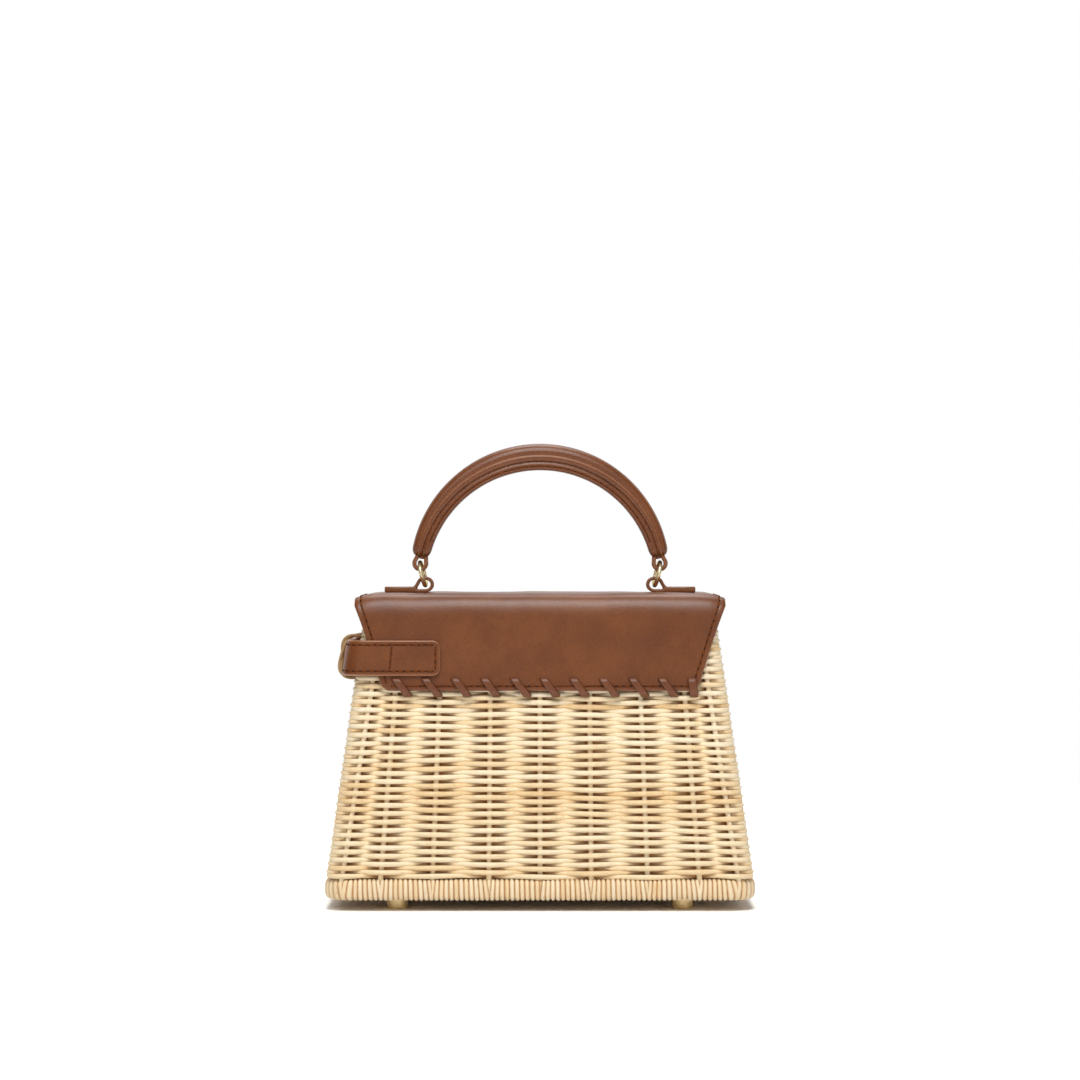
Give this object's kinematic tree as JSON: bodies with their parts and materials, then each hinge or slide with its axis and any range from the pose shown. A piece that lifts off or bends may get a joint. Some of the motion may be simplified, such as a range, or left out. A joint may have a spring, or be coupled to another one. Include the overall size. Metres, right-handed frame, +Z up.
{
  "type": "wicker handbag",
  "caption": "Small tapered wicker handbag with a leather lid laced to its rear wall, a padded arched handle on metal rings, an end strap and brass feet.",
  "frame": {"origin": "on the ground, below the middle of the bag's overall box", "axes": "+X to the right and -Y towards the viewer, both as seen from behind with the laced panel in view; +Z up"},
  "size_m": [0.22, 0.097, 0.2388],
  "materials": {
    "cane": "natural pale cane, satin",
    "leather": "smooth tan leather, satin",
    "lace_leather": "flat leather lace, satin",
    "brass": "polished brass",
    "ring_metal": "polished pale gold plating",
    "board": "plain plywood",
    "steel": "plain steel"
  },
  "bodies": {
    "basket": {"basket_wall": "cane", "base_rim": "cane", "mouth_rim": "cane", "base_board": "board", "foot_rear_left": "brass", "foot_rear_right": "brass", "foot_front_left": "brass", "foot_front_right": "brass", "foot_screws": "steel", "rear_panel": "leather", "lacing": "lace_leather", "strap_rear": "leather", "strap_keeper": "cane", "clasp_magnet": "steel"},
    "lid": {"lid": "leather", "strap_front": "leather", "clasp_cap": "brass", "handle_tab_left": "leather", "handle_tab_right": "leather"},
    "handle": {"handle_grip": "leather", "handle_loop_left": "leather", "handle_loop_right": "leather", "ring_left": "ring_metal", "ring_right": "ring_metal"}
  },
  "joints": [
    {"name": "lid_hinge", "type": "hinge", "parent": "basket", "child": "lid", "pos_m": [0, -0.03039, 0.1617], "axis": [1, 0, 0], "range_deg": [0, 135]},
    {"name": "handle_swing", "type": "hinge", "parent": "lid", "child": "handle", "pos_m": [0, 0, 0.17108], "axis": [1, 0, 0], "range_deg": [-45, 45]}
  ]
}
